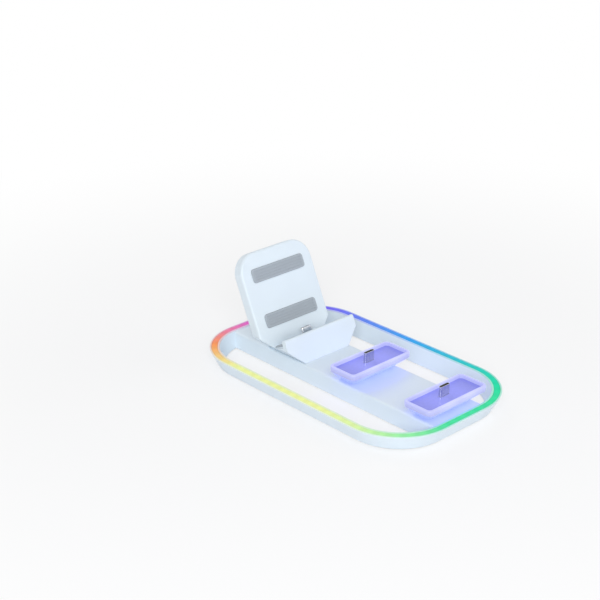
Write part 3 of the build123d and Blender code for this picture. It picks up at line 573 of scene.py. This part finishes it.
def strip_path(sizes, steps=30):
    """Middle line of the strip from the front's middle, as (place, outward, run in metres)."""
    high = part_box("light_guide")[1]
    radius = sizes.ring_corner - sizes.strip_width / 2
    half_x = high.x - sizes.ring_corner
    half_y = high.y - sizes.ring_corner
    line = [(Vector((0, -half_y - radius, 0)), Vector((0, -1, 0)))]
    for quarter, (side_x, side_y) in enumerate(((1, -1), (1, 1), (-1, 1), (-1, -1))):
        for step in range(steps + 1):
            turn = math.radians(90 * (quarter - 1 + step / steps))
            outward = Vector((math.cos(turn), math.sin(turn), 0))
            line.append((Vector((side_x * half_x, side_y * half_y, 0)) + radius * outward, outward))
    line.append(line[0])
    path = []
    run = 0.0
    for (before, _), (place, outward) in zip([line[0]] + line, line):
        run += (place - before).length
        path.append((place, outward, run))
    return path


def bar_section(width, low, high, radius, steps=5):
    """Section of a bar with two rounded upper edges, as (across, up) points."""
    points = [(-width / 2, low), (width / 2, low)]
    for side, start in ((1, 0), (-1, 90)):
        for step in range(steps + 1):
            turn = math.radians(start + 90 * step / steps)
            across = side * (width / 2 - radius) + radius * math.cos(turn)
            points.append((across, high - radius + radius * math.sin(turn)))
    return points


def slot_outline(width, depth):
    """Plan of a slot with round ends. A hair of flat end keeps its points apart."""
    hair = 0.001 * MM
    return rounded_outline(width, depth, depth / 2 - hair)


def pad_form(sizes, width, depth, grooves, opening=None, steps=5):
    """A rubber pad with a rounded edge, its face at height 0.

    Grooves are (x, y, length) and an opening is (width, depth).
    """
    edge = sizes.pad_round
    # A flat ring of this width keeps the rounded edge's smooth shading off the face
    flat_ring = 0.1 * MM

    def outline(inset):
        return rounded_outline(width - 2 * inset, depth - 2 * inset, sizes.pad_corner - inset)

    rows = [level(outline(0), -sizes.pad_thickness)]
    for step in range(steps + 1):
        turn = math.radians(90 * step / steps)
        rows.append(level(outline(edge * (1 - math.cos(turn))), edge * (math.sin(turn) - 1)))
    rows.append(level(outline(edge + flat_ring), 0))
    cutters = []
    for x, y, reach in grooves:
        plan = slot_outline(reach, sizes.groove_width)
        groove = form([level(plan, -sizes.groove_depth), level(plan, edge)])
        cutters.append(joined_forms([groove], [Matrix.Translation((x, y, 0))]))
    if opening:
        plan = slot_outline(*opening)
        cutters.append(form([level(plan, -2 * sizes.pad_thickness), level(plan, edge)]))
    return cut(form(rows), joined_forms(cutters, [Matrix.Identity(4)]))


def foot_form(sizes, top, steps=16, edge_steps=4):
    """One rubber foot round a corner, cut square at its ends, with a groove along its sole."""
    half, edge = sizes.foot_width / 2, sizes.foot_round
    # Half widths of the sole's groove at its mouth and floor, and its depth
    mouth, floor, deep = 0.35 * MM, 0.25 * MM, 0.35 * MM
    sole = [(-half, top), (half, top)]
    for side, start in ((1, 0), (-1, 90)):
        for step in range(edge_steps + 1):
            turn = math.radians(start + 90 * step / edge_steps)
            across = side * (half - edge) + edge * math.cos(turn)
            sole.append((across, edge - edge * math.sin(turn)))
        if side == 1:
            sole += [(mouth, 0), (floor, deep), (-floor, deep), (-mouth, 0)]
    rows = []
    for step in range(steps + 1):
        row = []
        for across, height in sole:
            radius = sizes.foot_radius + across
            first = math.asin(sizes.foot_start / radius)
            turn = first + (math.pi / 2 - 2 * first) * step / steps
            x = sizes.foot_centre_x + radius * math.cos(turn)
            y = sizes.foot_centre_y + radius * math.sin(turn)
            row.append(Vector((x, y, height)))
        rows.append(row)
    return form(rows)


def screw_form(sizes, whole, sides=28):
    """A cross-recessed pan screw, its head's face at height 0 and its shank upwards."""
    head, shank, deep = sizes.screw_head / 2, sizes.screw_shank / 2, sizes.head_height
    # Insets and heights along the head's rounded edge, and the flat face's share of the first ring
    crown = ((0.3 * MM, 0), (0.12 * MM, 0.06 * MM), (0, 0.22 * MM))
    face_share = 0.93
    # Length of the shank's point, and its end's share of the shank
    point, blunt = 0.8 * MM, 0.4
    # How far the recess's cutter stands out of the face, and how it narrows downwards
    proud, taper = 0.1 * MM, 0.6
    turned = [(head - inset, height) for inset, height in crown]
    turned += [(head, deep), (shank, deep), (shank, whole - point), (blunt * shank, whole)]
    turns = [2 * math.pi * i / sides for i in range(sides)]
    rows = [[Vector((r * math.cos(t), r * math.sin(t), z)) for t in turns] for r, z in turned]
    rows.insert(0, level([(p.x * face_share, p.y * face_share) for p in rows[0]], 0))
    arm, reach = sizes.cross_width / 2, sizes.cross_reach / 2
    cross = []
    for quarter in range(4):
        turn = Matrix.Rotation(math.radians(90 * quarter), 2)
        cross += [turn @ Vector(p) for p in ((reach, -arm), (reach, arm), (arm, arm))]
    recess = form([level(cross, -proud), level([p * taper for p in cross], sizes.cross_depth)])
    return cut(form(rows), recess)


def contact_form(section, width):
    """One gilt contact: a side section as (out, up) points, drawn over its width."""
    return form([[Vector((x, out, up)) for out, up in section] for x in (-width / 2, width / 2)])


def contact_row(sizes):
    """Places of the contacts in one row."""
    middle = (sizes.contact_count - 1) / 2
    offsets = [(i - middle) * sizes.contact_pitch for i in range(sizes.contact_count)]
    return [Matrix.Translation((offset, 0, 0)) for offset in offsets]


def heads(name, axis, spread):
    """Middle of each like solid of a node, on the plane where the node begins along an axis."""
    points = [vertex.co.copy() for vertex in frame["nodes"][name].data.vertices]
    # Points this near to the plane lie on it
    slack = 0.01 * MM
    first = min(point.dot(axis) for point in points)
    groups = []
    for point in points:
        if point.dot(axis) > first + slack:
            continue
        near = [group for group in groups if (group[0] - point).length < spread]
        if near:
            near[0].append(point)
        else:
            groups.append([point])
    middles = []
    for group in groups:
        corners = [[pick(point[i] for point in group) for i in range(3)] for pick in (min, max)]
        middles.append((Vector(corners[0]) + Vector(corners[1])) / 2)
    return middles


def reach_along(name, axis):
    """How long a node is along an axis."""
    along = [vertex.co.dot(axis) for vertex in frame["nodes"][name].data.vertices]
    return max(along) - min(along)


class DOCK_OT_shells(bpy.types.Operator):
    """Finish the white mouldings and the button"""

    bl_idname = "dock.shells"
    bl_label = "White mouldings"

    def execute(self, context):
        colours = context.scene.dock_colours
        lit = (colours, context.scene.dock_sizes)
        # The ring's shell has the strip's light painted on its edges beside the strip
        ring = moulded_abs("moulded_abs_white_lit_rim", list(colours.shell), lit)
        finish_nodes(ring, "base_shell")
        white = moulded_abs("moulded_abs_white", list(colours.shell))
        finish_nodes(white, "bottom_cover", "cradle_shell", "cradle_back_cover")
        finish_nodes(moulded_abs("moulded_abs_button", list(colours.button)), "mode_button")
        return {"FINISHED"}


class DOCK_OT_light_strip(bpy.types.Operator):
    """Build the lit diffuser round the ring"""

    bl_idname = "dock.light_strip"
    bl_label = "Light strip"

    def execute(self, context):
        sizes = context.scene.dock_sizes
        low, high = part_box("light_guide")
        section = bar_section(sizes.strip_width, low.z, high.z, sizes.strip_round)
        path = strip_path(sizes)
        rows = [
            [place + outward * across + Vector((0, 0, up)) for across, up in section]
            for place, outward, _ in path[:-1]
        ]
        runs = (
            [run / path[-1][2] for _, _, run in path],
            [2 * abs(across) / sizes.strip_width for across, _ in section],
        )
        shape = form(rows, joined=True, runs=runs)
        finish = lit_diffuser(context.scene.dock_colours, sizes)
        piece("light_strip", shape, finish, "dock", "light_diffuser", "light_guide")
        return {"FINISHED"}


class DOCK_OT_seats(bpy.types.Operator):
    """Finish the two lit seats"""

    bl_idname = "dock.seats"
    bl_label = "Lit seats"

    def execute(self, context):
        finish_nodes(lit_seat(context.scene.dock_colours), "front_seat_cup", "rear_seat_cup")
        return {"FINISHED"}


class DOCK_OT_connectors(bpy.types.Operator):
    """Finish the plugs and the power inlet, and fit their gilt contacts"""

    bl_idname = "dock.connectors"
    bl_label = "Plugs and inlet"

    def execute(self, context):
        sizes = context.scene.dock_sizes
        # Deep-drawn steel with bright nickel: mirror-like, with faint lines along the draw
        bright = metal(
            "drawn_steel_nickel_plated", "#D3D5D9", rough=0.16, streak_mm=0.4, stretch=(1, 1, 0.1)
        )
        finish_nodes(
            bright, "front_plug_shell", "rear_plug_shell", "handheld_plug_shell",
            "power_inlet_shell",
        )
        # Glass-filled nylon, moulded: a dull black with paler fibres near its face
        carrier = speckled(
            "moulded_nylon_black", "#0C0D0F", "#17181B", spot_mm=0.4, rough=0.45, ior=1.53
        )
        finish_nodes(
            carrier, "front_plug_insert", "rear_plug_insert", "handheld_plug_insert",
            "power_inlet_tongue", "front_plug_block", "rear_plug_block", "handheld_plug_block",
            "link_headers",
        )
        # Stamped copper alloy, gilt: a warm yellow shine with lines from the stamping
        gilt = metal(
            "stamped_copper_gilt", "#E8B84A", rough=0.2, streak_mm=0.3, stretch=(1, 1, 0.1)
        )
        # A sprung finger stands on the mouth's wall and bends inwards near its tip
        sunk, root, bend, knee, nose, tip = (mm * MM for mm in (0.04, 0.6, 3.2, 4.5, 4.9, 5.8))
        thick, thin, spring_out = 0.09 * MM, 0.08 * MM, 0.2 * MM
        wall = sizes.plug_gap / 2 + sunk
        spring = [
            (wall, root), (wall, tip), (wall - thin, tip), (wall - spring_out, nose),
            (wall - spring_out, knee), (wall - thick, bend), (wall - thick, root),
        ]
        finger = contact_form(spring, sizes.contact_width)
        half_turns = (Matrix.Identity(4), Matrix.Rotation(math.pi, 4, "Z"))
        facing = [turn @ place for turn in half_turns for place in contact_row(sizes)]
        for plug in ("front_gamepad_plug", "rear_gamepad_plug", "handheld_plug"):
            stand = upright(MOUNTS[plug]["pos_m"], MOUNTS[plug]["axis"])
            both = joined_forms([finger], [stand @ place for place in facing])
            piece(plug + "_contacts", both, gilt, "dock", "connector_steel")
        # Flat strips lie along both faces of the inlet's tongue
        low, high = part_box("power_inlet_tongue")
        face = sizes.tongue_height / 2
        inner, outer = face - 0.05 * MM, face + 0.04 * MM
        start, end = -1.2 * MM, -4.3 * MM
        strip = [(inner, start), (outer, start), (outer, end), (inner, end)]
        flat = contact_form(strip, sizes.contact_width)
        mouth = upright((0, high.y, (low.z + high.z) / 2), (0, 1, 0))
        both = joined_forms([flat], [mouth @ place for place in facing])
        piece("inlet_contacts", both, gilt, "dock", "connector_steel")
        return {"FINISHED"}


class DOCK_OT_pads(bpy.types.Operator):
    """Build the ribbed rubber pads of the cradle"""

    bl_idname = "dock.pads"
    bl_label = "Cradle pads"

    def execute(self, context):
        sizes = context.scene.dock_sizes
        colours = context.scene.dock_colours
        rubber = moulded_rubber("moulded_silicone_rubber", list(colours.pad), ior=1.41)
        pitch, margin = sizes.rib_pitch, sizes.groove_margin
        rest = MOUNTS["handheld_backrest"]
        reach = sizes.rest_pad_width - 2 * margin
        grooves = [(0, i * pitch, reach) for i in (-1.5, -0.5, 0.5, 1.5)]
        shape = pad_form(sizes, sizes.rest_pad_width, sizes.rest_pad_height, grooves)
        face = upright(rest["pos_m"], rest["axis"])
        lower = face @ Matrix.Translation((0, -sizes.rest_pad_pitch, 0))
        both = joined_forms([shape], [face, lower])
        piece("backrest_grips", both, rubber, "dock", "pad_rubber", "backrest_pads")
        # In the slot long grooves pass the plug's opening, and short ones lie to its left and right
        reach = sizes.floor_pad_width - 2 * margin
        short = (reach - sizes.plug_slot_width) / 2 - margin
        grooves = [(0, side * i * pitch, reach) for side in (-1, 1) for i in (1.5, 2.5, 3.5)]
        aside = (reach - short) / 2
        grooves += [(side * aside, i * pitch, short) for side in (-1, 1) for i in (-0.5, 0.5)]
        opening = (sizes.plug_slot_width, sizes.plug_slot_depth)
        shape = pad_form(sizes, sizes.floor_pad_width, sizes.floor_pad_depth, grooves, opening)
        slot = MOUNTS["handheld_plug"]
        face = upright(slot["pos_m"], slot["axis"]) @ Matrix.Translation((0, 0, sizes.pad_proud))
        shape = joined_forms([shape], [face])
        piece("slot_grip", shape, rubber, "dock", "pad_rubber", "cradle_floor_pad")
        return {"FINISHED"}


class DOCK_OT_feet(bpy.types.Operator):
    """Build the rubber feet under the ring's corners"""

    bl_idname = "dock.feet"
    bl_label = "Feet"

    def execute(self, context):
        colours = context.scene.dock_colours
        rubber = moulded_rubber("moulded_nitrile_rubber", list(colours.foot), ior=1.52)
        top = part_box("corner_feet")[1].z
        shape = foot_form(context.scene.dock_sizes, top)
        corners = [Matrix.Diagonal((x, y, 1, 1)) for x in (-1, 1) for y in (-1, 1)]
        feet = joined_forms([shape], corners)
        piece("ring_feet", feet, rubber, "dock", "foot_rubber", "corner_feet")
        return {"FINISHED"}


class DOCK_OT_screws(bpy.types.Operator):
    """Build the screws that show and finish the hidden ones"""

    bl_idname = "dock.screws"
    bl_label = "Screws"

    def execute(self, context):
        sizes = context.scene.dock_sizes
        # Rolled steel with zinc: a grey, slightly cloudy shine
        zinc = metal(
            "rolled_steel_zinc_plated", "#A9ABAF", rough=0.3, streak_mm=0.3, stretch=(1, 1, 1)
        )
        finish_nodes(zinc, "board_screws", "seat_screws", "cradle_screws")
        lean = Vector(MOUNTS["handheld_backrest"]["axis"])
        for name, nodes, axis in (
            ("cover_cross_screws", "cover_screws", Vector((0, 0, 1))),
            ("back_cross_screws", "back_cover_screws", lean),
        ):
            shape = screw_form(sizes, reach_along(nodes, axis))
            places = [upright(middle, axis) for middle in heads(nodes, axis, sizes.screw_head)]
            piece(name, joined_forms([shape], places), zinc, "dock", "screw_steel", nodes)
        return {"FINISHED"}


class DOCK_OT_electronics(bpy.types.Operator):
    """Finish the boards, lamps and switch inside the dock"""

    bl_idname = "dock.electronics"
    bl_label = "Electronics"

    def execute(self, context):
        for name, low, high, spot_mm, rough, ior, glow, nodes in (
            # Glass cloth and epoxy under green lacquer: the cloth's weave clouds the colour
            ("pressed_laminate_green_lacquer", "#0E4A26", "#14592F", 1.2, 0.4, 1.55, 0.0,
             ("main_board", "front_seat_board", "rear_seat_board", "cradle_board")),
            # Polyimide film under white lacquer: it throws the lamps' light upwards
            ("rolled_film_white_lacquer", "#DEDFDB", "#EDEDE8", 1.0, 0.45, 1.55, 0.0,
             ("led_strip",)),
            # Cast silicone with phosphor: a creamy drop that glows
            ("cast_silicone_phosphor", "#F3EFD8", "#FBF8EA", 0.5, 0.25, 1.41, 0.6,
             ("ring_leds", "front_seat_leds", "rear_seat_leds")),
            # Moulded epoxy full of silica: dull black
            ("moulded_epoxy_black", "#0B0B0D", "#141416", 0.4, 0.5, 1.55, 0.0,
             ("charge_chips",)),
            # Sintered ferrite: a dark grey ceramic with a sandy skin
            ("sintered_ferrite", "#1D1E20", "#2A2B2E", 0.6, 0.6, 2.0, 0.0,
             ("power_coils",)),
            # Moulded nylon: an even satin black
            ("moulded_nylon_switch", "#111214", "#1B1C1F", 0.5, 0.5, 1.53, 0.0,
             ("mode_switch", "switch_plunger")),
        ):
            finish_nodes(speckled(name, low, high, spot_mm, rough, ior, glow), *nodes)
        return {"FINISHED"}


class DOCK_OT_stage(bpy.types.Operator):
    """Set up the floor, the soft light and the camera"""

    bl_idname = "dock.stage"
    bl_label = "Studio"

    def execute(self, context):
        stage = context.scene.dock_stage
        context.scene.view_settings.view_transform = "Standard"
        self.add_floor(stage)
        self.add_world(context.scene)
        self.add_lights()
        self.add_camera(context.scene, stage)
        return {"FINISHED"}

    def seen_direct(self, tree):
        """1 for camera, glossy and transmitted rays, 0 for the rays that light the dock."""
        rays = node(tree, "ShaderNodeLightPath").outputs
        first = sums(tree, "MAXIMUM", rays["Is Camera Ray"], rays["Is Glossy Ray"])
        return sums(tree, "MAXIMUM", first, rays["Is Transmission Ray"])

    def add_floor(self, stage):
        made, tree, surface = material("studio_floor")
        matt = node(tree, "ShaderNodeBsdfDiffuse", {"Color": (*stage.floor, 1.0)})
        white = node(tree, "ShaderNodeEmission", {"Color": (1, 1, 1, 1), "Strength": 1.0})
        far = node(tree, "ShaderNodeVectorMath", {0: here(tree)}, operation="LENGTH")
        # Under the dock the floor takes a shadow, and farther out it is the white backdrop
        plain = mapped(tree, far.outputs["Value"], SHADOW_FADE, (SHADOW_WHITE, 1), "SMOOTHSTEP")
        share = sums(tree, "MULTIPLY", self.seen_direct(tree), plain)
        shaders = {0: share, 1: matt.outputs["BSDF"], 2: white.outputs["Emission"]}
        mix = node(tree, "ShaderNodeMixShader", shaders)
        tree.links.new(mix.outputs["Shader"], surface)
        bpy.ops.mesh.primitive_plane_add(size=FLOOR_SIZE, location=(0, 0, -FLOOR_DROP))
        floor = bpy.context.object
        floor.name = "studio_floor"
        floor.data.materials.append(made)

    def add_world(self, scene):
        world = bpy.data.worlds.new("studio_world")
        world.use_nodes = True
        tree = world.node_tree
        tree.nodes.clear()
        strength = mapped(tree, self.seen_direct(tree), (0, 1), (SKY_LIGHT, 1))
        sky = node(tree, "ShaderNodeBackground", {"Color": (1, 1, 1, 1), "Strength": strength})
        output = node(tree, "ShaderNodeOutputWorld")
        tree.links.new(sky.outputs["Background"], output.inputs["Surface"])
        scene.world = world

    def add_lights(self):
        target = Vector(LIGHT_TARGET)
        for name, place, size, power in (
            ("key", (-0.75, -0.75, 0.6), 0.7, 7.9),
            ("fill", (0.85, -0.5, 0.5), 0.8, 1.8),
            ("back", (0.2, 0.9, 0.8), 0.8, 2.0),
        ):
            lamp = bpy.data.lights.new(name, "AREA")
            lamp.shape = "DISK"
            lamp.size = size
            lamp.energy = power
            holder = bpy.data.objects.new(name, lamp)
            holder.location = place
            holder.rotation_euler = (target - Vector(place)).to_track_quat("-Z", "Y").to_euler()
            bpy.context.scene.collection.objects.link(holder)

    def add_camera(self, scene, stage):
        data = bpy.data.cameras.new("camera")
        data.lens = stage.camera_lens
        data.sensor_width = 36.0
        data.clip_start = 0.01
        camera = bpy.data.objects.new("camera", data)
        camera.location = stage.camera_place
        turn, rise = stage.camera_azimuth, stage.camera_elevation
        level_share = math.cos(rise)
        back = Vector(
            (math.sin(turn) * level_share, -math.cos(turn) * level_share, math.sin(rise))
        )
        camera.rotation_euler = (-back).to_track_quat("-Z", "Y").to_euler()
        scene.collection.objects.link(camera)
        scene.camera = camera


OPERATORS = (
    DOCK_OT_shells, DOCK_OT_light_strip, DOCK_OT_seats, DOCK_OT_connectors, DOCK_OT_pads,
    DOCK_OT_feet, DOCK_OT_screws, DOCK_OT_electronics, DOCK_OT_stage,
)


class VIEW3D_PT_dock(bpy.types.Panel):
    """Lists the dock's pieces and their settings"""

    bl_label = "Charging dock"
    bl_space_type = "VIEW_3D"
    bl_region_type = "UI"
    bl_category = "Dock"

    def draw(self, context):
        for operator in OPERATORS:
            self.layout.operator(operator.bl_idname)
        scene = context.scene
        for group in (scene.dock_sizes, scene.dock_colours, scene.dock_stage):
            box = self.layout.box()
            for name in group.__annotations__:
                box.prop(group, name)


CLASSES = (DockSizes, DockColours, DockStage, *OPERATORS, VIEW3D_PT_dock)


def register():
    for cls in CLASSES:
        bpy.utils.register_class(cls)
    bpy.types.Scene.dock_sizes = PointerProperty(type=DockSizes)
    bpy.types.Scene.dock_colours = PointerProperty(type=DockColours)
    bpy.types.Scene.dock_stage = PointerProperty(type=DockStage)


def unregister():
    for name in ("dock_stage", "dock_colours", "dock_sizes"):
        delattr(bpy.types.Scene, name)
    for cls in reversed(CLASSES):
        bpy.utils.unregister_class(cls)


def main():
    register()
    bpy.ops.dock.shells()
    bpy.ops.dock.light_strip()
    bpy.ops.dock.seats()
    bpy.ops.dock.connectors()
    bpy.ops.dock.pads()
    bpy.ops.dock.feet()
    bpy.ops.dock.screws()
    bpy.ops.dock.electronics()
    bpy.ops.dock.stage()


if __name__ == "__main__":
    main()
